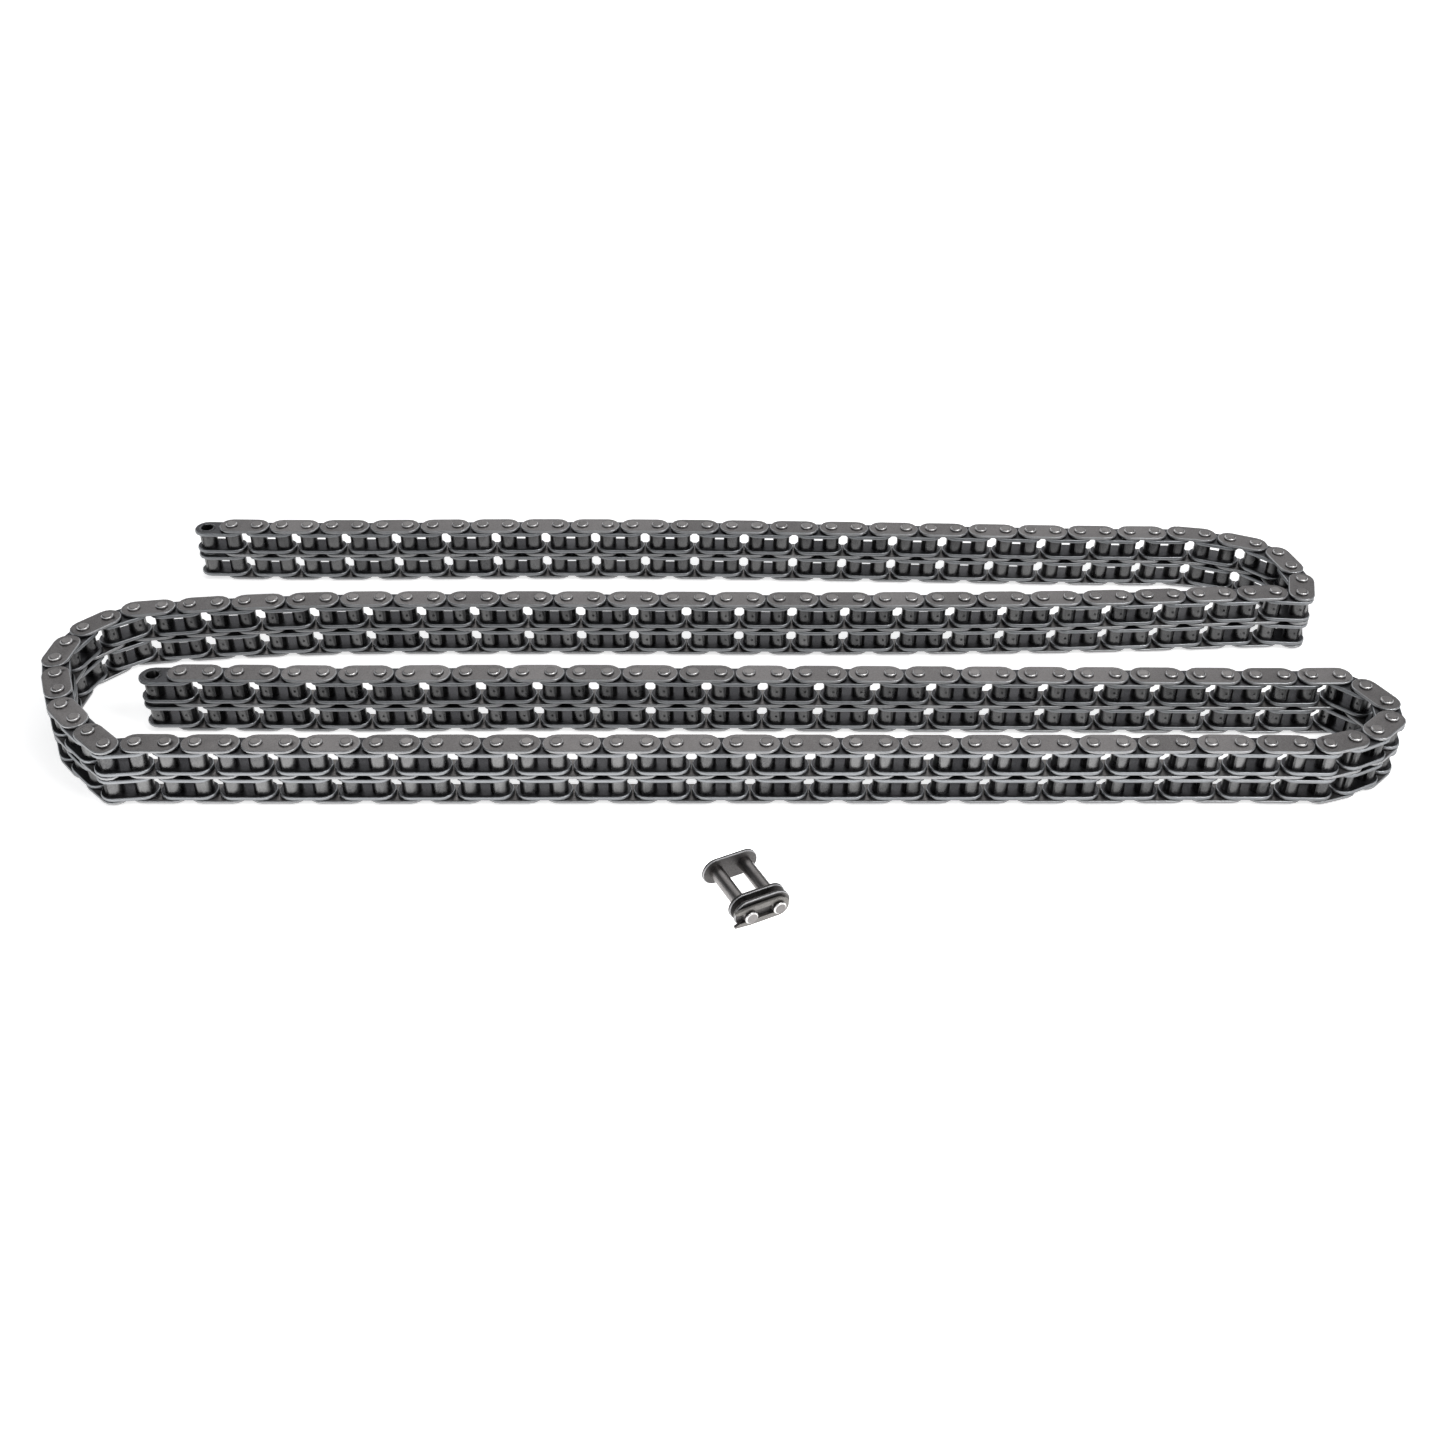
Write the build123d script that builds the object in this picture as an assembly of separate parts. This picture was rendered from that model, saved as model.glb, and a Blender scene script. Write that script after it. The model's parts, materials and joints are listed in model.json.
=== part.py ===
"""Double-strand bush chain with its loose spring-clip connecting link.

The chain lies on its side: its pins stand upright along Z, and its two strands are one above the other.
It is laid on a flat surface in a long open serpentine of four rows, and the connecting link lies in front
of it on the edges of its plates. The origin is under the middle of the whole lay, on that surface.
"""

import os
from math import cos, radians, sin

from build123d import *

# Driving dimensions, millimetres
pitch = 9.525
inner_width = 5.72
plate_gap = 0.25
outer_plate_thickness = 1.2
inner_plate_thickness = 1.5
middle_plate_thickness = 1.32
side_clearance = 0.1
bush_diameter = 6.35
pin_diameter = 4.45
running_clearance = 0.05
pin_head = 0.8
pin_chamfer = 0.35
oil_hole_diameter = 0.9

# Connecting link, millimetres
connecting_head = 0.4
slide_clearance = 0.06
cover_play = 0.3
middle_plate_slack = 2.0
clip_thickness = 1.0
clip_play = 0.1
clip_groove_diameter = 3.2
clip_width = 7.0
clip_neck = 0.25
clip_tail = 5.2
clip_tail_spread = 1.3
pin_tip = 1.0

# How the chain is laid: (link, heading in degrees there), turning evenly from one to the next.
# Odd links are inner links and even links are outer links, counted from the free end of the back row.
lay_headings = [
    (1, 0.2), (9, 2.8), (21, 0.4), (33, -0.3), (39, 1.4),
    (41, -18), (42, -21.5), (43, -43), (44, -75), (45, -81), (46, -104), (47, -183), (48, -175.7),
    (50, -174.5), (57, -177.3), (69, -178.9), (81, -178.2), (87, -173),
    (90, -170), (91, -143), (92, -131.5), (93, -107.6), (94, -95), (95, -71.5), (96, -67.5),
    (97, -66), (98, -48.2), (100, -43), (101, 7.5), (102, 0.8),
    (105, 1.3), (113, 1.6), (125, 1.3), (137, 1.7), (141, -0.1),
    (142, 20), (143, 28), (144, 45), (145, 82.5), (146, 118.5), (147, 138), (148, 182.4),
    (151, 181), (173, 181.2), (181, 182.2), (185, 180.5), (189, 181.5),
]

# The chain is held as rigid lengths, hinged at the second pin of each of these outer links.
hinge_links = [8, 15, 22, 30, 38, 47, 49, 60, 71, 73, 80, 87]

# Where the connecting link lies: along the rows from the first bore, and in front of the front row
connecting_link_links = 21
connecting_link_gap = 32.7
connecting_link_heading = 28

# Worked out from the driving dimensions
plate_height = pitch - plate_gap
bush_bore = pin_diameter + 2 * running_clearance
strand_width = inner_width + 2 * inner_plate_thickness
transverse_pitch = strand_width + middle_plate_thickness + 2 * side_clearance
lower_outer_z = pin_head
lower_strand_z = lower_outer_z + outer_plate_thickness + side_clearance
middle_plate_z = lower_strand_z + strand_width + side_clearance
upper_strand_z = lower_strand_z + transverse_pitch
upper_outer_z = upper_strand_z + strand_width + side_clearance
pin_length = upper_outer_z + outer_plate_thickness + pin_head
strand_levels = [lower_strand_z, upper_strand_z]
link_count = lay_headings[-1][0]

# Along the connecting link's pins, from the outer face of its back plate
cover_plate_z = outer_plate_thickness + 2 * strand_width + middle_plate_thickness
cover_plate_z += 4 * side_clearance + cover_play
middle_plate_stored_z = cover_plate_z - middle_plate_slack - middle_plate_thickness
clip_groove_z = cover_plate_z + outer_plate_thickness + cover_play
connecting_pin_reach = clip_groove_z - outer_plate_thickness + clip_thickness + 2 * clip_play + pin_tip


def heading_at(link):
    """The heading of one link, from the run of links that it is in."""
    for (first, start), (last, end) in zip(lay_headings, lay_headings[1:]):
        if link <= last:
            return start + (end - start) * (link - first) / (last - first)


def walk():
    """The bore centres along the chain, one pitch apart, and each link's heading."""
    headings = [heading_at(link) for link in range(1, link_count + 1)]
    points = [(0.0, 0.0)]
    for heading in headings:
        x, y = points[-1]
        points.append((x + pitch * cos(radians(heading)), y + pitch * sin(radians(heading))))
    return points, headings


def plate(thickness, hole_diameter):
    """A link plate with round ends and two holes, lying on XY from its first hole."""
    outline = SlotCenterToCenter(pitch, plate_height)
    holes = [Pos(x, 0) * Circle(hole_diameter / 2) for x in (-pitch / 2, pitch / 2)]
    return Pos(pitch / 2, 0) * extrude(outline - holes, thickness)


def bush():
    """A bush as long as its strand is wide, with an oil hole in its left-hand wall."""
    sleeve = extrude(Circle(bush_diameter / 2) - Circle(bush_bore / 2), strand_width)
    drill = Cylinder(oil_hole_diameter / 2, bush_diameter, align=(Align.CENTER, Align.CENTER, Align.MIN))
    return sleeve - Pos(0, 0, strand_width / 2) * Rot(-90, 0, 0) * drill


def chain_pin():
    """A rivet pin through both strands, chamfered at both heads."""
    shank = Cylinder(pin_diameter / 2, pin_length, align=(Align.CENTER, Align.CENTER, Align.MIN))
    return chamfer(shank.edges().filter_by(GeomType.CIRCLE), pin_chamfer)


def connecting_pin():
    """A connecting-link pin, headed at its back plate and grooved for the clip."""
    shank = Pos(0, 0, -connecting_head) * Cylinder(
        pin_diameter / 2,
        connecting_head + outer_plate_thickness + connecting_pin_reach,
        align=(Align.CENTER, Align.CENTER, Align.MIN),
    )
    shank = chamfer(shank.edges().filter_by(GeomType.CIRCLE), pin_chamfer)
    collar = Circle(pin_diameter) - Circle(clip_groove_diameter / 2)
    groove = Pos(0, 0, clip_groove_z) * extrude(collar, clip_thickness + 2 * clip_play)
    return shank - groove


def spring_clip():
    """The flat spring clip, closed round the second pin and forked past the first one."""
    seat = clip_groove_diameter / 2 + slide_clearance + clip_neck
    slot = clip_groove_diameter / 2 + slide_clearance
    body = SlotCenterToCenter(pitch, clip_width)
    tail_x = -pitch / 2 - clip_tail
    fork = Polygon(
        (-pitch / 2, -clip_width / 2), (-pitch / 2, clip_width / 2),
        (tail_x, slot + clip_tail_spread), (tail_x, -slot - clip_tail_spread), align=None,
    )
    opening = Pos((tail_x + pitch / 2) / 2, 0) * Rectangle(pitch / 2 - tail_x, 2 * slot)
    splay = Polygon(
        (tail_x, slot + clip_tail_spread / 2), (tail_x, -slot - clip_tail_spread / 2),
        (-pitch / 2, 0), align=None,
    )
    seats = [Pos(x, 0) * Circle(seat) for x in (-pitch / 2, pitch / 2)]
    flat = body + fork - opening - splay - seats
    return extrude(flat, clip_thickness)


def lay_box(points):
    """The box of the laid chain and its connecting link, as (x, y) low and high corners."""
    reach = plate_height / 2
    x_low = min(x for x, y in points) - reach
    x_high = max(x for x, y in points) + reach
    y_high = max(y for x, y in points) + reach
    y_low = min(corner.Y for corner in connecting_link_corners())
    return (x_low, y_low), (x_high, y_high)


def connecting_link_plane(origin_x=0.0, origin_y=0.0):
    """The connecting link's own frame: X along the link, Y up, Z along its pins."""
    turn = radians(connecting_link_heading)
    x = connecting_link_links * pitch
    y = min(y for x, y in points) - connecting_link_gap
    return Plane(
        origin=(x - origin_x, y - origin_y, plate_height / 2),
        x_dir=(cos(turn), sin(turn), 0),
        z_dir=(sin(turn), -cos(turn), 0),
    )


def connecting_link_corners():
    """The corners of the connecting link's own solids, in the frame of the lay."""
    frame = connecting_link_plane()
    pieces = [connecting_pin_pair(), clip_in_place()]
    boxes = [(frame.location * piece).bounding_box() for piece in pieces]
    return [corner for box in boxes for corner in (box.min, box.max)]


def connecting_pin_pair():
    return Compound(children=[Pos(x, 0) * connecting_pin() for x in (-pitch / 2, pitch / 2)])


def clip_in_place():
    return Pos(0, 0, clip_groove_z + clip_play) * spring_clip()


points, headings = walk()
(x_low, y_low), (x_high, y_high) = lay_box(points)
origin_x = (x_low + x_high) / 2
origin_y = (y_low + y_high) / 2
centres = [(x - origin_x, y - origin_y) for x, y in points]
hinge_points = [centres[2 * link] for link in hinge_links]


def at_link(link, z):
    """Where a link's first bore is, turned along the link."""
    x, y = centres[link - 1]
    return Location((x, y, z), (0, 0, headings[link - 1]))


def chain_lengths():
    """(first link, last link) of each rigid length, ending at a hinge or a free end."""
    ends = [2 * link for link in hinge_links] + [link_count]
    starts = [1] + [end + 1 for end in ends[:-1]]
    return list(zip(starts, ends))


def build_length(first, last):
    """The four groups of pieces in one rigid length of the chain."""
    inner = [link for link in range(first, last + 1) if link % 2 == 1]
    outer = [link for link in range(first, last + 1) if link % 2 == 0]
    outer_plate = plate(outer_plate_thickness, pin_diameter)
    middle_plate = plate(middle_plate_thickness, pin_diameter)
    inner_plate = plate(inner_plate_thickness, bush_diameter)
    one_bush = bush()
    one_pin = chain_pin()
    far_plate = inner_plate_thickness + inner_width
    along = [Location((0, 0, 0)), Location((pitch, 0, 0))]
    return {
        "outer_plates": [
            at_link(link, z) * shape
            for link in outer
            for z, shape in (
                (lower_outer_z, outer_plate), (middle_plate_z, middle_plate), (upper_outer_z, outer_plate),
            )
        ],
        "inner_plates": [
            at_link(link, z + offset) * inner_plate
            for link in inner for z in strand_levels for offset in (0, far_plate)
        ],
        "bushes": [
            at_link(link, z) * step * one_bush for link in inner for z in strand_levels for step in along
        ],
        "pins": [at_link(link, 0) * step * one_pin for link in outer for step in along],
    }


def build_connecting_link():
    """The connecting link's five nodes, where it lies."""
    frame = connecting_link_plane(origin_x, origin_y).location
    centred = Pos(-pitch / 2, 0)
    fixed_plate = centred * plate(outer_plate_thickness, pin_diameter)
    sliding_hole = pin_diameter + 2 * slide_clearance
    middle = Pos(0, 0, middle_plate_stored_z) * centred * plate(middle_plate_thickness, sliding_hole)
    cover = Pos(0, 0, cover_plate_z) * centred * plate(outer_plate_thickness, sliding_hole)
    return {
        "connecting_back_plate": [frame * fixed_plate],
        "connecting_pins": [frame * Pos(x, 0) * connecting_pin() for x in (-pitch / 2, pitch / 2)],
        "connecting_middle_plate": [frame * middle],
        "connecting_cover_plate": [frame * cover],
        "connecting_spring_clip": [frame * clip_in_place()],
    }


def build_nodes():
    """Every node of the model: its name and its solids."""
    nodes = {}
    for number, (first, last) in enumerate(chain_lengths(), start=1):
        for kind, solids in build_length(first, last).items():
            nodes[f"{kind}_{number:02d}"] = solids
    nodes.update(build_connecting_link())
    return nodes


if __name__ == "__main__":
    os.makedirs("parts", exist_ok=True)
    for name, solids in build_nodes().items():
        export_step(Compound(children=[s.solid() for s in solids]), f"parts/{name}.step")
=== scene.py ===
"""Looks of a double-strand bush chain and its loose spring-clip connecting link.

Every link is rebuilt with rounded rims, rolled bushes and riveted pin heads, where the frame
holds its plain solid. Sizes are in metres, and MM turns millimetres into metres.
"""

import json
import math
import random

import bmesh
import bpy
import numpy as np
from mathutils import Matrix, Vector

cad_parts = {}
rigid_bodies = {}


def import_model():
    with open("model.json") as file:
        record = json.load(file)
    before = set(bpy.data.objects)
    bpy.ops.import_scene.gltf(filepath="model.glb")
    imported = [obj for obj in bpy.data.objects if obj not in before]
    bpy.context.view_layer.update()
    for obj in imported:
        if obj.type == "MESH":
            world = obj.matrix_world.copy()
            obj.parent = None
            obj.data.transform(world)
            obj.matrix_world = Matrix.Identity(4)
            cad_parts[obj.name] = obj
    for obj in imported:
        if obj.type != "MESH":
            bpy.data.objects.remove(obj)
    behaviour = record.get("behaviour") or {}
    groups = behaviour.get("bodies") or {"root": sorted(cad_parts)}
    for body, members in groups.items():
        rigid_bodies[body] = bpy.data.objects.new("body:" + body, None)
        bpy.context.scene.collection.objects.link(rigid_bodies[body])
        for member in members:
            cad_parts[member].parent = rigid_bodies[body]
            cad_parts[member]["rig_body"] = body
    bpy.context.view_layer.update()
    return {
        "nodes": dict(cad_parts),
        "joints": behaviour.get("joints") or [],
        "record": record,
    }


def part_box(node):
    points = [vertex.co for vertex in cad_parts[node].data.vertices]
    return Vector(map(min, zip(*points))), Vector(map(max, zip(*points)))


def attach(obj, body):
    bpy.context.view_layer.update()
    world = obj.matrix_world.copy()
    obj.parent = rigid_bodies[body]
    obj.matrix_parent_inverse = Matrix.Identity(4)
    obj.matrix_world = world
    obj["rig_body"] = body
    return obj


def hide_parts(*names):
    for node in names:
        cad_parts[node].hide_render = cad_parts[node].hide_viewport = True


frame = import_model()

MM = 0.001

# Link plates
plate_height = 9.275 * MM
outer_plate_thickness = 1.2 * MM
inner_plate_thickness = 1.5 * MM
middle_plate_thickness = 1.32 * MM
plate_rim = 0.34 * MM
connecting_rim = 0.3 * MM
slide_hole_radius = 2.285 * MM

# Bushes
bush_radius = 3.175 * MM
bush_bore_radius = 2.275 * MM
oil_hole_radius = 0.45 * MM

# Pins
pin_radius = 2.225 * MM
pin_chamfer = 0.42 * MM
dimple_edge_radius = 0.6 * pin_radius
dimple_floor_radius = 0.5 * pin_radius
dimple_depth = 0.05 * MM
back_mark_radius = 0.6 * MM
clip_groove_radius = 1.6 * MM
clip_groove_width = 1.2 * MM
pin_tip_length = 1.0 * MM
pin_tip_step = 0.1 * MM

# Spring clip
clip_rim = 0.12 * MM
clip_rim_steps = 2
clip_sharp_angle = math.radians(40)

# How finely round shapes are divided
plate_end_steps = 8
hole_steps = 12
bush_steps = 16
oil_hole_steps = 8
pin_steps = 16
connecting_end_steps = 18
connecting_steps = 32

# How close is the same place, and how flat is the same face
same_place = 0.0001 * MM
same_place_in_copy = 0.001 * MM
same_height = 0.01 * MM
flat_angle = 0.01
flat_angle_in_copy = 0.02

# How much of the bright rim colour, a painted highlight, the faces of a plate's wall take, and the
# slopes of a chamfer, whose faces take that painted highlight in full
wall_shine = 0.6
connecting_wall_shine = 0.0
chamfer_slopes = (0.3, 0.95)
# Solid shade on the faces inside the oil holes: a painted shade that darkens the holes
painted_hole_shade = -2.5
large_face_weight = 80

# Camera and light
camera_place = Vector((0.0028, -0.4664, 0.3502))
camera_tilt = math.radians(90 - 36.815)
camera_roll = math.radians(0.90)
camera_lens = 42.13
camera_sensor = 36.0
sky_tint = (0.93, 0.96, 1, 1)
sky_strength = 0.12
horizon_strength = 1.08
horizon_top, sky_bottom = 0.08, 0.42
floor_reach = 4.0
floor_grey = 0.75
floor_glow = 0.68
pool_glow = 2.15
front_glow = 1.5
far_glow = 1.05
pool_edge = (0.004, 0.009)
front_edge = (0.022, 0.034)
far_edge = (0.4, 1.0)
# Each lamp: name, place, size and power in watts. They all point at the origin.
lamps = (
    ("softbox behind", (0.0, 1.0, 0.95), (1.6, 0.7), 5.5),
    ("key on the right", (0.73, -0.41, 1.03), (0.45, 0.45), 7),
    ("strip in front", (0.1, -0.9, 1.2), (1.8, 0.25), 6),
)

rng = random.Random(9525)


# ---------------------------------------------------------------- where the links are

def standing_centres(node, apart):
    """The middles, seen from above, of the upright solids in a node.

    Any two points of one solid are less than `apart` from each other, and solids are further apart.
    """
    mesh = frame["nodes"][node].data
    flat = np.empty(len(mesh.vertices) * 3)
    mesh.vertices.foreach_get("co", flat)
    left = np.unique(np.round(flat.reshape(-1, 3)[:, :2], 7), axis=0)
    centres = []
    while len(left):
        near = np.hypot(*(left - left[0]).T) < apart
        group = left[near]
        centres.append(Vector(((group.min(0) + group.max(0)) / 2).tolist()))
        left = left[~near]
    return centres


def chain_order():
    """Every bore of the chain in order from the first free end, as (place, length number)."""
    ends = {mount["name"]: Vector(mount["pos_m"][:2]) for mount in frame["record"]["mounts"]}
    lengths = sorted(node[-2:] for node in frame["nodes"] if node.startswith("pins_"))
    apart = 2.1 * pin_radius
    left = [(place, n) for n in lengths for place in standing_centres("pins_" + n, apart)]
    order = [(ends["first_end_bore"], lengths[0])]
    while left:
        here = order[-1][0]
        nearest = min(left, key=lambda pin: (pin[0] - here).length)
        order.append(nearest)
        left.remove(nearest)
    order.append((ends["last_end_bore"], lengths[-1]))
    return order


bores = chain_order()
pitch = (bores[1][0] - bores[0][0]).length


def links_of(number, outer):
    """(place, direction) of each outer link, or of each inner link, in one length of the chain."""
    found = []
    for index, ((start, _), (end, length)) in enumerate(zip(bores, bores[1:])):
        is_outer = index % 2 == 1
        if is_outer == outer and length == number:
            found.append((start, (end - start).normalized()))
    return found


# ---------------------------------------------------------------- modelling

def once_each(items):
    """The items without repeats, in an order that is the same in every run."""
    return list(dict.fromkeys(items))


def edges_at(made):
    """The edges that meet the vertices an operator has made."""
    return once_each(edge for vert in made["verts"] for edge in vert.link_edges)


def ring(bm, radius, z, steps, centre):
    """A closed ring of edges round an upright axis."""
    place = Matrix.Translation((*centre, z))
    return edges_at(bmesh.ops.create_circle(bm, segments=steps, radius=radius, matrix=place))


def stadium(bm, radius, z, steps):
    """A closed outline with a round end about each of two bores, one pitch apart."""
    ends = []
    for x, side in ((0.0, 1), (pitch, -1)):
        start = bm.verts.new((x, side * radius, z))
        arc = bmesh.ops.spin(
            bm, geom=[start], cent=(x, 0, z), axis=(0, 0, 1), angle=math.pi, steps=steps,
        )
        last = next(item for item in arc["geom_last"] if isinstance(item, bmesh.types.BMVert))
        ends.append((start, last))
    first_side = bm.edges.new((ends[0][1], ends[1][0]))
    bm.edges.new((ends[1][1], ends[0][0]))
    loop, seen = [first_side], {first_side}
    corner = first_side.verts[1]
    while True:
        onward = [edge for edge in corner.link_edges if edge not in seen]
        if not onward:
            return loop
        loop.append(onward[0])
        seen.add(onward[0])
        corner = onward[0].other_vert(corner)


def bridge(bm, rings):
    """Walls from each ring to the next one. Returns the new faces, one list for each wall."""
    return [
        bmesh.ops.bridge_loops(bm, edges=lower + upper)["faces"]
        for lower, upper in zip(rings, rings[1:])
    ]


def cap(bm, rings):
    """A flat face between an outline and the rings inside it."""
    edges = [edge for one in rings for edge in one]
    made = bmesh.ops.triangle_fill(bm, edges=edges, use_beauty=True)
    faces = [item for item in made["geom"] if isinstance(item, bmesh.types.BMFace)]
    outer_edges = set(edges)
    inner_edges = once_each(
        edge for face in faces for edge in face.edges if edge not in outer_edges
    )
    bmesh.ops.dissolve_limit(bm, angle_limit=flat_angle, verts=[], edges=inner_edges)


def marked(bm):
    """The layers a finish follows: how bright a rim each face is, a painted highlight, and the
    shade of its solid, which also carries painted shade inside the oil holes.
    """
    return bm.faces.layers.float.new("rim"), bm.faces.layers.float.new("piece")


def plate(
    thickness, hole_radius, end_steps=plate_end_steps, bore_steps=hole_steps,
    rim_width=plate_rim, shine=wall_shine,
):
    """A blanked link plate with tumbled, rounded rims, lying on XY from its first bore."""
    bm = bmesh.new()
    rim, _ = marked(bm)
    half = plate_height / 2
    outline = [
        stadium(bm, half - rim_width, 0, end_steps),
        stadium(bm, half, rim_width, end_steps),
        stadium(bm, half, thickness - rim_width, end_steps),
        stadium(bm, half - rim_width, thickness, end_steps),
    ]
    # The rounded rims take the full rim colour and the wall takes `shine` of it: a painted
    # highlight
    for wall, brightness in zip(bridge(bm, outline), (1, shine, 1)):
        for face in wall:
            face[rim] = brightness
    holes = [
        [ring(bm, hole_radius, z, bore_steps, (x, 0)) for z in (0, thickness)]
        for x in (0, pitch)
    ]
    for hole in holes:
        bridge(bm, hole)
    cap(bm, [outline[0], holes[0][0], holes[1][0]])
    cap(bm, [outline[-1], holes[0][1], holes[1][1]])
    return tidy(bm)


def in_order_of_place(bm):
    """Sorts vertices, edges and faces by place, because merging leaves their order to chance."""
    for elements, place in (
        (bm.verts, lambda vert: vert.co),
        (bm.edges, lambda edge: (edge.verts[0].co + edge.verts[1].co) / 2),
        (bm.faces, lambda face: face.calc_center_median()),
    ):
        ordered = sorted(elements, key=lambda one: tuple(round(x, 8) for x in place(one)))
        rank = {one: number for number, one in enumerate(ordered)}
        elements.sort(key=lambda one: rank[one])


def lathe(bm, profile, steps, closed=False):
    """A (radius, height) profile turned once round an upright axis."""
    verts = [bm.verts.new((radius, 0, z)) for radius, z in profile]
    onward = verts[1:] + verts[:1] if closed else verts[1:]
    edges = [bm.edges.new(pair) for pair in zip(verts, onward)]
    bmesh.ops.spin(
        bm, geom=verts + edges, cent=(0, 0, 0), axis=(0, 0, 1), angle=2 * math.pi, steps=steps,
        use_merge=True,
    )
    bmesh.ops.remove_doubles(bm, verts=bm.verts, dist=same_place)
    in_order_of_place(bm)


def drill_wall(bm, wall, middle_z):
    """An oil hole's mouth in an upright wall face that looks along Y. Returns its edges."""
    y = wall.calc_center_median().y
    width = min(edge.calc_length() for edge in wall.edges)
    part = [wall]
    for side in (-1, 1):
        cut = bmesh.ops.bisect_plane(
            bm, geom=once_each(item for face in part for item in (face, *face.edges, *face.verts)),
            plane_co=(0, 0, middle_z + side * width / 2), plane_no=(0, 0, 1),
        )
        across = next(item for item in cut["geom_cut"] if isinstance(item, bmesh.types.BMEdge))
        part = sorted(
            across.link_faces, key=lambda face: abs(face.calc_center_median().z - middle_z),
        )
    window = part[0]
    window_edges = list(window.edges)
    bmesh.ops.delete(bm, geom=[window], context="FACES_ONLY")
    place = Matrix.Translation((0, y, middle_z)) @ Matrix.Rotation(math.pi / 2, 4, "X")
    place = place @ Matrix.Rotation(math.pi / oil_hole_steps, 4, "Z")
    mouth = edges_at(bmesh.ops.create_circle(
        bm, segments=oil_hole_steps, radius=oil_hole_radius, matrix=place,
    ))
    bmesh.ops.bridge_loops(bm, edges=window_edges + mouth)
    return mouth


def bush(length):
    """A rolled bush standing on XY, with an oil hole in its +Y wall."""
    bm = bmesh.new()
    _, number = marked(bm)
    profile = [
        (bush_radius, 0), (bush_radius, length),
        (bush_bore_radius, length), (bush_bore_radius, 0),
    ]
    lathe(bm, profile, bush_steps, closed=True)
    turn = Matrix.Rotation(math.pi / 2 + math.pi / bush_steps, 3, "Z")
    bmesh.ops.rotate(bm, cent=(0, 0, 0), matrix=turn, verts=bm.verts)
    middles = [(face, face.calc_center_median()) for face in bm.faces]
    walls = [
        face for face, middle in middles
        if middle.y > 0 and math.hypot(middle.x, middle.z - length / 2) < same_height
    ]
    mouths = [drill_wall(bm, wall, length / 2) for wall in walls]
    # The hole's inner wall gets a very low solid shade: painted shade inside the hole
    for face in bmesh.ops.bridge_loops(bm, edges=mouths[0] + mouths[1])["faces"]:
        face[number] = painted_hole_shade
    return tidy(bm)


def turned_pin(profile, steps=pin_steps):
    """A pin standing on XY from its (radius, height) profile, closed flat at each end."""
    bm = bmesh.new()
    rim, _ = marked(bm)
    lathe(bm, profile, steps)
    open_edges = [edge for edge in bm.edges if edge.is_boundary]
    bmesh.ops.holes_fill(bm, edges=open_edges, sides=steps)
    # Chamfer faces, chosen by their slope, take the full rim colour: a painted highlight
    for face in bm.faces:
        face.normal_update()
        if chamfer_slopes[0] < abs(face.normal.z) < chamfer_slopes[1]:
            face[rim] = 1.0
    return tidy(bm)


def tidy(bm):
    """Closes seams, turns every face outwards and smooths it."""
    bmesh.ops.remove_doubles(bm, verts=bm.verts, dist=same_place)
    bmesh.ops.recalc_face_normals(bm, faces=bm.faces)
    for face in bm.faces:
        face.smooth = True
    mesh = bpy.data.meshes.new("shape")
    bm.to_mesh(mesh)
    bm.free()
    return mesh


def shown(name, bm):
    """A new object in the scene, with the shape of bm."""
    mesh = bpy.data.meshes.new(name)
    bm.to_mesh(mesh)
    bm.free()
    made = bpy.data.objects.new(name, mesh)
    bpy.context.scene.collection.objects.link(made)
    return made


def finish(piece, node, material):
    """Puts a piece in the place of its CAD node, on that node's body."""
    piece.data.materials.append(material)
    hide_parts(node)
    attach(piece, frame["nodes"][node]["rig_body"])


def set_out(name, shapes, node, material):
    """One piece made of copies of shapes, each at its own matrix, in the place of a CAD node."""
    bm = bmesh.new()
    _, number = marked(bm)
    for mesh, place in shapes:
        verts_before, faces_before = len(bm.verts), len(bm.faces)
        bm.from_mesh(mesh)
        bm.verts.ensure_lookup_table()
        bm.faces.ensure_lookup_table()
        bmesh.ops.transform(bm, matrix=place, verts=bm.verts[verts_before:])
        shade = rng.random()
        for face in bm.faces[faces_before:]:
            face[number] += shade
    piece = shown(name, bm)
    even = piece.modifiers.new("even normals", "WEIGHTED_NORMAL")
    even.weight = large_face_weight
    finish(piece, node, material)


def rounded_copy(name, node, material, rim_width):
    """A merged copy of a CAD node with softened edges, in that node's place."""
    bm = bmesh.new()
    bm.from_mesh(frame["nodes"][node].data)
    marked(bm)
    bmesh.ops.remove_doubles(bm, verts=bm.verts, dist=same_place_in_copy)
    bmesh.ops.dissolve_limit(
        bm, angle_limit=flat_angle_in_copy, verts=bm.verts, edges=bm.edges,
    )
    for face in bm.faces:
        face.smooth = True
    piece = shown(name, bm)
    soft = piece.modifiers.new("soft edges", "BEVEL")
    soft.width = rim_width
    soft.segments = clip_rim_steps
    soft.limit_method = "ANGLE"
    soft.angle_limit = clip_sharp_angle
    piece.modifiers.new("even normals", "WEIGHTED_NORMAL")
    finish(piece, node, material)


# ---------------------------------------------------------------- finishes

# How far each thing moves the shade from a metal's dark colour towards its light colour
patch_shade = 0.7
solid_shade = 0.5
grain_shade = 1.1
shade_drop = 0.1
# How much of the rim colour, a painted highlight, a rim takes, before and from its specks
rim_cover = 0.5
rim_speck_cover = 0.4
# How far patches and specks move the roughness
patch_roughness = 0.3
speck_roughness = 0.2
# How high the specks stand against the grain, and how much smoother a rim is
speck_height = 0.6
rim_smoothing = 0.8
bump_strength = 0.6
bump_distance = 0.02 * MM
patch_scale = 260.0
speck_scale = 1900.0


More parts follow.
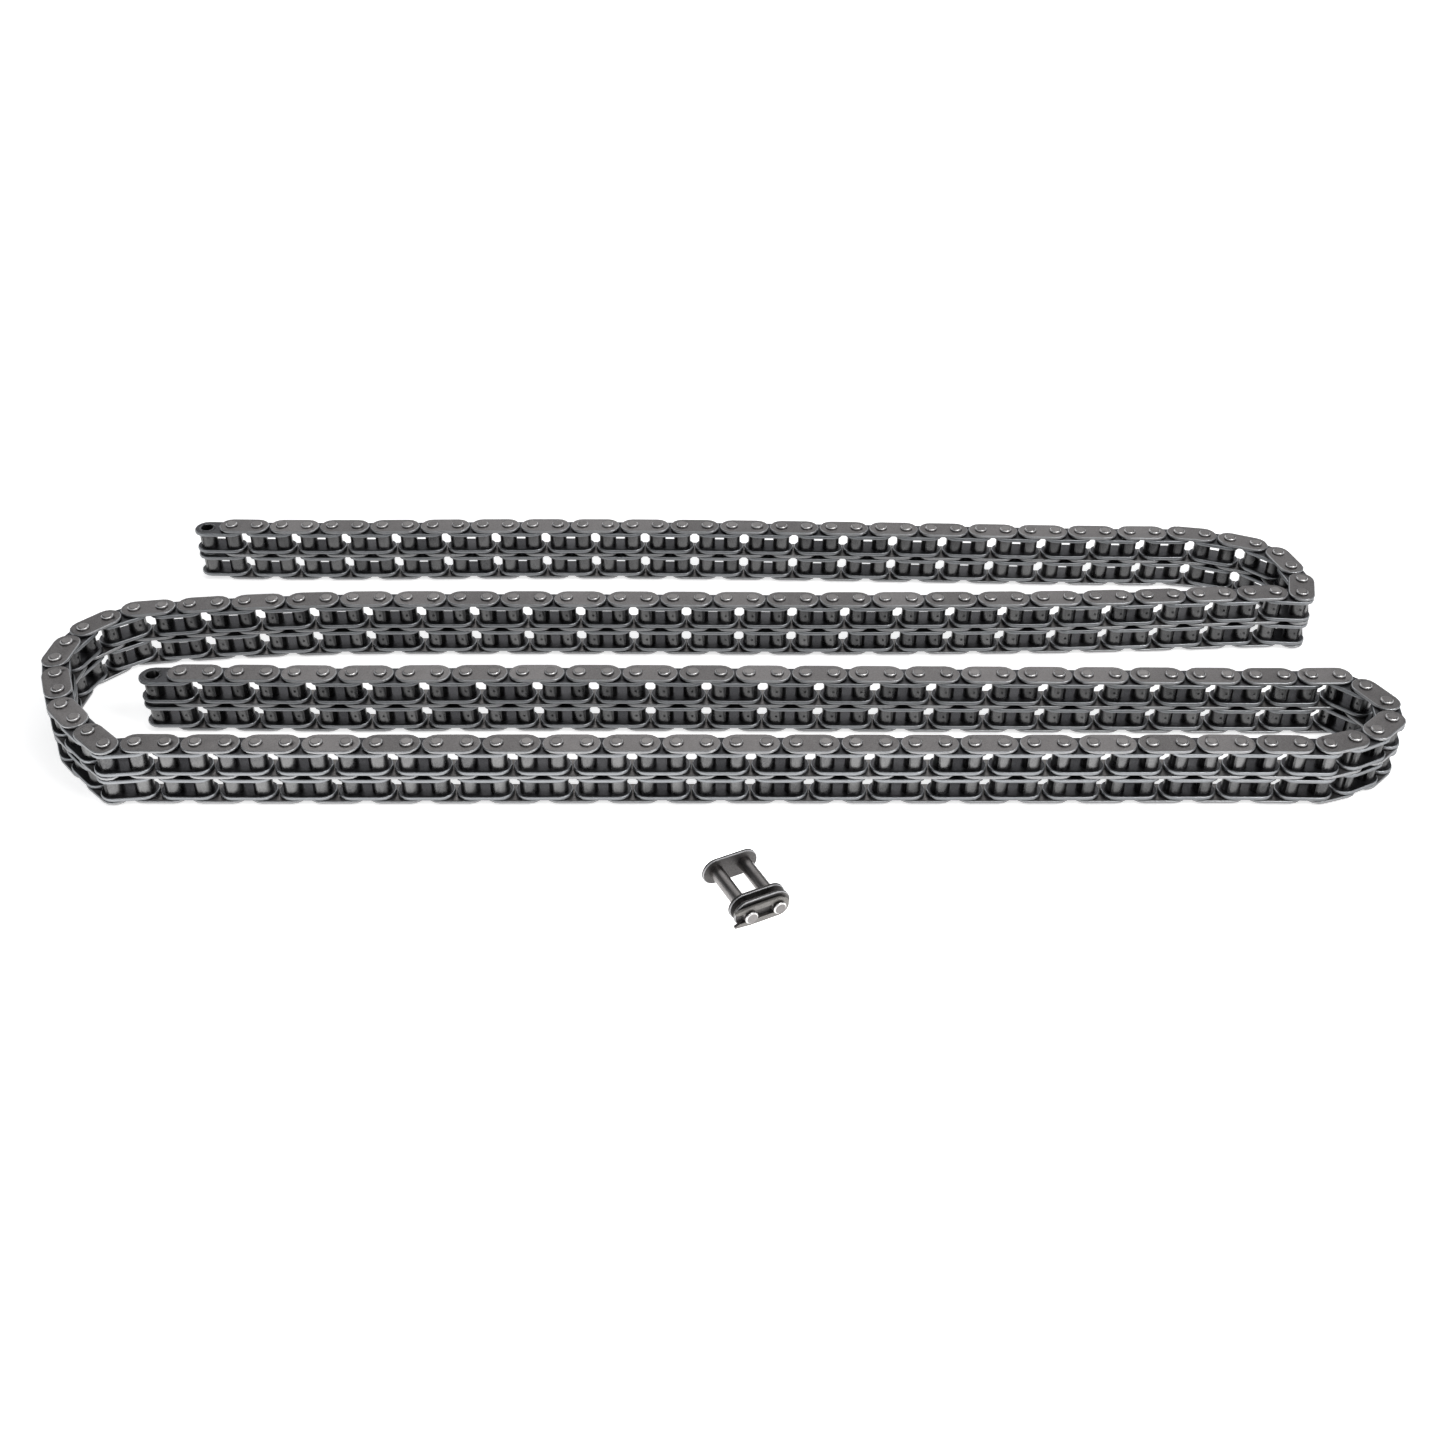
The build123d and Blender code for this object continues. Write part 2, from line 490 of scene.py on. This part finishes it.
def steel_grain_group():
    """Worn steel: its colour, roughness and fine surface, with oily patches and rims painted
    brighter as a highlight.
    """
    group = bpy.data.node_groups.new("steel grain", "ShaderNodeTree")
    for in_out, name, kind in (
        ("INPUT", "Dark", "Color"), ("INPUT", "Light", "Color"), ("INPUT", "Rim highlight colour", "Color"),
        ("INPUT", "Roughness", "Float"), ("INPUT", "Grain size", "Float"),
        ("INPUT", "Grain depth", "Float"),
        ("OUTPUT", "Colour", "Color"), ("OUTPUT", "Roughness", "Float"),
        ("OUTPUT", "Height", "Float"),
    ):
        group.interface.new_socket(name, in_out=in_out, socket_type="NodeSocket" + kind)
    nodes, links = group.nodes, group.links
    given = nodes.new("NodeGroupInput").outputs
    result = nodes.new("NodeGroupOutput").inputs
    place = nodes.new("ShaderNodeTexCoord")

    def noise(scale, detail, rough):
        made = nodes.new("ShaderNodeTexNoise")
        made.inputs["Scale"].default_value = scale
        made.inputs["Detail"].default_value = detail
        made.inputs["Roughness"].default_value = rough
        links.new(place.outputs["Object"], made.inputs["Vector"])
        return made

    def attribute(name):
        made = nodes.new("ShaderNodeAttribute")
        made.attribute_name = name
        return made.outputs["Fac"]

    def maths(kind, first, second):
        made = nodes.new("ShaderNodeMath")
        made.operation = kind
        for number, value in enumerate((first, second)):
            if isinstance(value, (int, float)):
                made.inputs[number].default_value = value
            else:
                links.new(value, made.inputs[number])
        return made.outputs[0]

    def plus(first, second):
        return maths("ADD", first, second)

    def times(first, second):
        return maths("MULTIPLY", first, second)

    def swing(source, amount):
        return times(maths("SUBTRACT", source, 0.5), amount)

    def mix(factor, first, second):
        made = nodes.new("ShaderNodeMix")
        made.data_type = "RGBA"
        links.new(factor, made.inputs["Factor"])
        for name, value in (("A", first), ("B", second)):
            target = next(s for s in made.inputs if s.name == name and s.type == "RGBA")
            links.new(value, target)
        return next(s for s in made.outputs if s.type == "RGBA")

    patches = noise(patch_scale, 3.0, 0.5).outputs["Fac"]
    grain_noise = noise(1.0, 2.0, 0.6)
    links.new(given["Grain size"], grain_noise.inputs["Scale"])
    grain = grain_noise.outputs["Fac"]
    specks = noise(speck_scale, 2.0, 0.7).outputs["Fac"]
    # Each solid's random shade, which is very low on the faces inside the oil holes: painted shade
    # there
    solid = attribute("piece")
    rim = attribute("rim")

    shade = plus(times(patches, patch_shade), times(solid, solid_shade))
    shade = plus(maths("SUBTRACT", shade, shade_drop), swing(grain, grain_shade))
    body = mix(shade, given["Dark"], given["Light"])
    # Rims take the rim colour, a painted highlight, flecked by the specks
    bright = times(rim, plus(times(specks, rim_speck_cover), rim_cover))
    links.new(mix(bright, body, given["Rim highlight colour"]), result["Colour"])

    rough = plus(given["Roughness"], swing(patches, patch_roughness))
    links.new(plus(rough, swing(specks, speck_roughness)), result["Roughness"])

    height = plus(grain, times(specks, speck_height))
    height = times(height, maths("SUBTRACT", 1.0, times(rim, rim_smoothing)))
    links.new(times(height, given["Grain depth"]), result["Height"])
    return group


steel_grain = steel_grain_group()


def steel(name, dark, light, rim, roughness, grain_size, grain_depth):
    """A metal with the shared grain, in its own colours."""
    material = bpy.data.materials.new(name)
    material.use_nodes = True
    nodes, links = material.node_tree.nodes, material.node_tree.links
    surface = nodes["Principled BSDF"]
    surface.inputs["Metallic"].default_value = 1.0
    grain = nodes.new("ShaderNodeGroup")
    grain.node_tree = steel_grain
    for socket_name, value in (("Dark", dark), ("Light", light), ("Rim highlight colour", rim)):
        grain.inputs[socket_name].default_value = (*value, 1)
    grain.inputs["Roughness"].default_value = roughness
    grain.inputs["Grain size"].default_value = grain_size
    grain.inputs["Grain depth"].default_value = grain_depth
    bump = nodes.new("ShaderNodeBump")
    bump.inputs["Distance"].default_value = bump_distance
    bump.inputs["Strength"].default_value = bump_strength
    links.new(grain.outputs["Colour"], surface.inputs["Base Color"])
    links.new(grain.outputs["Roughness"], surface.inputs["Roughness"])
    links.new(grain.outputs["Height"], bump.inputs["Height"])
    links.new(bump.outputs["Normal"], surface.inputs["Normal"])
    return material


plate_steel = steel(
    "tumbled plate steel",
    dark=(0.105, 0.1, 0.099), light=(0.25, 0.238, 0.236), rim=(0.44, 0.45, 0.46),
    roughness=0.42, grain_size=2700, grain_depth=0.8,
)
# Darker colours than the outer plates' steel: painted shade on the inner plates, which sit between
# and inside the outer plates
inner_plate_steel = steel(
    "inner plate steel with painted shade",
    dark=(0.028, 0.028, 0.031), light=(0.11, 0.109, 0.114), rim=(0.44, 0.455, 0.47),
    roughness=0.42, grain_size=2700, grain_depth=0.7,
)
connecting_steel = steel(
    "dark plate steel",
    dark=(0.055, 0.052, 0.052), light=(0.15, 0.145, 0.142), rim=(0.48, 0.48, 0.49),
    roughness=0.50, grain_size=2200, grain_depth=0.15,
)
bush_steel = steel(
    "rolled bush steel",
    dark=(0.06, 0.06, 0.062), light=(0.18, 0.179, 0.178), rim=(0.5, 0.5, 0.5),
    roughness=0.32, grain_size=2600, grain_depth=0.5,
)
# Its bright rim colour is a painted highlight on the pins' chamfers
pin_steel = steel(
    "turned pin steel",
    dark=(0.14, 0.133, 0.131), light=(0.28, 0.267, 0.262), rim=(0.85, 0.84, 0.83),
    roughness=0.38, grain_size=2900, grain_depth=0.2,
)
clip_steel = steel(
    "clip steel",
    dark=(0.12, 0.115, 0.109), light=(0.29, 0.279, 0.266), rim=(0.45, 0.45, 0.44),
    roughness=0.44, grain_size=2700, grain_depth=0.3,
)


# ---------------------------------------------------------------- the chain

def levels(node):
    """The lowest and the highest height of a CAD node."""
    low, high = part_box(node)
    return low.z, high.z


_, pin_length = levels("pins_01")
outer_low, outer_high = levels("outer_plates_01")
inner_low, inner_high = levels("inner_plates_01")
side_play = inner_low - outer_low - outer_plate_thickness
strand_width = (inner_high - inner_low - middle_plate_thickness - 2 * side_play) / 2
strand_lows = (inner_low, inner_high - strand_width)
middle_low = (inner_low + inner_high - middle_plate_thickness) / 2

outer_plate_shape = plate(outer_plate_thickness, pin_radius)
middle_plate_shape = plate(middle_plate_thickness, pin_radius)
inner_plate_shape = plate(inner_plate_thickness, bush_radius)
bush_shape = bush(strand_width)
pin_shape = turned_pin([
    (pin_radius - pin_chamfer, 0), (pin_radius, pin_chamfer),
    (pin_radius, pin_length - pin_chamfer), (pin_radius - pin_chamfer, pin_length),
    (dimple_edge_radius, pin_length), (dimple_floor_radius, pin_length - dimple_depth),
])

outer_levels = (
    (outer_plate_shape, outer_low), (middle_plate_shape, middle_low),
    (outer_plate_shape, outer_high - outer_plate_thickness),
)
inner_levels = [
    z + offset for z in strand_lows for offset in (0, strand_width - inner_plate_thickness)
]


def at(place, direction, height, along=0.0):
    """A matrix that stands a shape at a bore, turned along its link."""
    turn = math.atan2(direction.y, direction.x)
    spot = place + direction * along
    return Matrix.Translation((spot.x, spot.y, height)) @ Matrix.Rotation(turn, 4, "Z")


for number in sorted({number for _, number in bores}):
    outer_links, inner_links = links_of(number, True), links_of(number, False)
    set_out(
        "outer_link_plates_" + number,
        [(shape, at(*link, z)) for link in outer_links for shape, z in outer_levels],
        "outer_plates_" + number, plate_steel,
    )
    set_out(
        "inner_link_plates_" + number,
        [(inner_plate_shape, at(*link, z)) for link in inner_links for z in inner_levels],
        "inner_plates_" + number, inner_plate_steel,
    )
    set_out(
        "rolled_bushes_" + number,
        [
            (bush_shape, at(*link, z, along))
            for link in inner_links for z in strand_lows for along in (0, pitch)
        ],
        "bushes_" + number, bush_steel,
    )
    set_out(
        "riveted_pins_" + number,
        [(pin_shape, at(*link, 0, along)) for link in outer_links for along in (0, pitch)],
        "pins_" + number, pin_steel,
    )


# ---------------------------------------------------------------- the connecting link

joint_axes = {joint["name"]: Vector(joint["axis"]) for joint in frame["joints"]}
link_way = joint_axes["spring_clip_slide"]
pin_way = -joint_axes["middle_plate_slide"]


def middle_of(node):
    """The middle of a CAD node's box."""
    low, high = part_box(node)
    return (low + high) / 2


def on_link(middle, thickness):
    """A matrix that puts a shape of the chain across the connecting link, about its middle."""
    turn = Matrix((link_way, Vector((0, 0, 1)), pin_way)).transposed().to_4x4()
    corner = middle - link_way * pitch / 2 - pin_way * thickness / 2
    return Matrix.Translation(corner) @ turn


def connecting_plate(name, node, thickness, hole_radius):
    """A finer plate, standing on edge about the middle of its CAD node."""
    shape = plate(
        thickness, hole_radius, connecting_end_steps, connecting_steps,
        connecting_rim, connecting_wall_shine,
    )
    place = on_link(middle_of(node), thickness)
    set_out(name, [(shape, place)], node, connecting_steel)


connecting_plate(
    "link_back_plate", "connecting_back_plate", outer_plate_thickness, pin_radius,
)
connecting_plate(
    "link_middle_plate", "connecting_middle_plate", middle_plate_thickness, slide_hole_radius,
)
connecting_plate(
    "link_cover_plate", "connecting_cover_plate", outer_plate_thickness, slide_hole_radius,
)


def connecting_pins_length():
    """How long the two connecting pins are, along their own axis."""
    mesh = frame["nodes"]["connecting_pins"].data
    along = [vert.co.dot(pin_way) for vert in mesh.vertices]
    return max(along) - min(along)


connecting_length = connecting_pins_length()
groove_start = connecting_length - pin_tip_length - clip_groove_width
groove_end = groove_start + clip_groove_width
tip_radius = pin_radius - pin_tip_step
connecting_pin_shape = turned_pin([
    (back_mark_radius, 0), (pin_radius - pin_chamfer, 0), (pin_radius, pin_chamfer),
    (pin_radius, groove_start), (clip_groove_radius, groove_start),
    (clip_groove_radius, groove_end), (tip_radius, groove_end),
    (tip_radius, connecting_length - pin_chamfer), (tip_radius - pin_chamfer, connecting_length),
], connecting_steps)
pins_middle = middle_of("connecting_pins")
set_out(
    "link_pins",
    [
        (connecting_pin_shape, on_link(pins_middle + link_way * offset, connecting_length))
        for offset in (0, pitch)
    ],
    "connecting_pins", pin_steel,
)
rounded_copy("link_spring_clip", "connecting_spring_clip", clip_steel, clip_rim)


# ---------------------------------------------------------------- floor, light and camera

def make_floor():
    """A white floor with a pool of light in front of the nearest row, and brighter far away."""
    bm = bmesh.new()
    bmesh.ops.create_grid(bm, x_segments=1, y_segments=1, size=floor_reach)
    floor = shown("floor", bm)
    paint = bpy.data.materials.new("pale floor")
    paint.use_nodes = True
    nodes, links = paint.node_tree.nodes, paint.node_tree.links
    surface = nodes["Principled BSDF"]
    surface.inputs["Base Color"].default_value = (floor_grey, floor_grey, floor_grey, 1)
    surface.inputs["Roughness"].default_value = 1.0
    surface.inputs["Emission Color"].default_value = (1, 1, 1, 1)
    place = nodes.new("ShaderNodeTexCoord")
    parts = nodes.new("ShaderNodeSeparateXYZ")
    distance = nodes.new("ShaderNodeVectorMath")
    distance.operation = "LENGTH"
    links.new(place.outputs["Object"], parts.inputs["Vector"])
    links.new(place.outputs["Object"], distance.inputs[0])

    def ramp(source, start, end, low, high):
        made = nodes.new("ShaderNodeMapRange")
        made.interpolation_type = "SMOOTHSTEP"
        made.inputs["From Min"].default_value = start
        made.inputs["From Max"].default_value = end
        made.inputs["To Min"].default_value = low
        made.inputs["To Max"].default_value = high
        links.new(source, made.inputs["Value"])
        return made.outputs["Result"]

    def product(first, second):
        made = nodes.new("ShaderNodeMath")
        made.operation = "MULTIPLY"
        links.new(first, made.inputs[0])
        links.new(second, made.inputs[1])
        return made.outputs["Value"]

    nearest_row = min(centre.y for centre, _ in bores)
    forwards = parts.outputs["Y"]
    pool_start, pool_end = (nearest_row - reach for reach in pool_edge)
    front_start, front_end = (nearest_row - reach for reach in front_edge)
    glow = product(
        ramp(forwards, pool_start, pool_end, floor_glow, pool_glow),
        ramp(forwards, front_start, front_end, 1.0, front_glow / pool_glow),
    )
    glow = product(glow, ramp(distance.outputs["Value"], *far_edge, 1.0, far_glow / floor_glow))
    links.new(glow, surface.inputs["Emission Strength"])
    floor.data.materials.append(paint)


def area_light(name, place, size, power):
    """A rectangular lamp that points at the origin."""
    lamp = bpy.data.lights.new(name, "AREA")
    lamp.shape = "RECTANGLE"
    lamp.size, lamp.size_y = size
    lamp.energy = power
    holder = bpy.data.objects.new(name, lamp)
    holder.location = place
    holder.rotation_euler = (-Vector(place)).to_track_quat("-Z", "Y").to_euler()
    bpy.context.scene.collection.objects.link(holder)


def make_light():
    """A white horizon that fades into a dim sky, and the lamps."""
    world = bpy.data.worlds.new("studio")
    world.use_nodes = True
    nodes, links = world.node_tree.nodes, world.node_tree.links
    place = nodes.new("ShaderNodeTexCoord")
    parts = nodes.new("ShaderNodeSeparateXYZ")
    height = nodes.new("ShaderNodeMapRange")
    height.inputs["From Min"].default_value = horizon_top
    height.inputs["From Max"].default_value = sky_bottom
    height.inputs["To Min"].default_value = horizon_strength
    height.inputs["To Max"].default_value = sky_strength
    links.new(place.outputs["Generated"], parts.inputs["Vector"])
    links.new(parts.outputs["Z"], height.inputs["Value"])
    background = nodes["Background"]
    background.inputs["Color"].default_value = sky_tint
    links.new(height.outputs["Result"], background.inputs["Strength"])
    bpy.context.scene.world = world
    for lamp in lamps:
        area_light(*lamp)


def make_camera():
    """The camera in front of the chain, looking down on it."""
    lens = bpy.data.cameras.new("camera")
    lens.lens = camera_lens
    lens.sensor_width = camera_sensor
    lens.clip_start, lens.clip_end = 0.01, 20
    camera = bpy.data.objects.new("camera", lens)
    turn = Matrix.Rotation(camera_tilt, 4, "X") @ Matrix.Rotation(camera_roll, 4, "Z")
    camera.matrix_world = Matrix.Translation(camera_place) @ turn
    bpy.context.scene.collection.objects.link(camera)
    bpy.context.scene.camera = camera


make_floor()
make_light()
make_camera()
bpy.context.scene.view_settings.view_transform = "Standard"
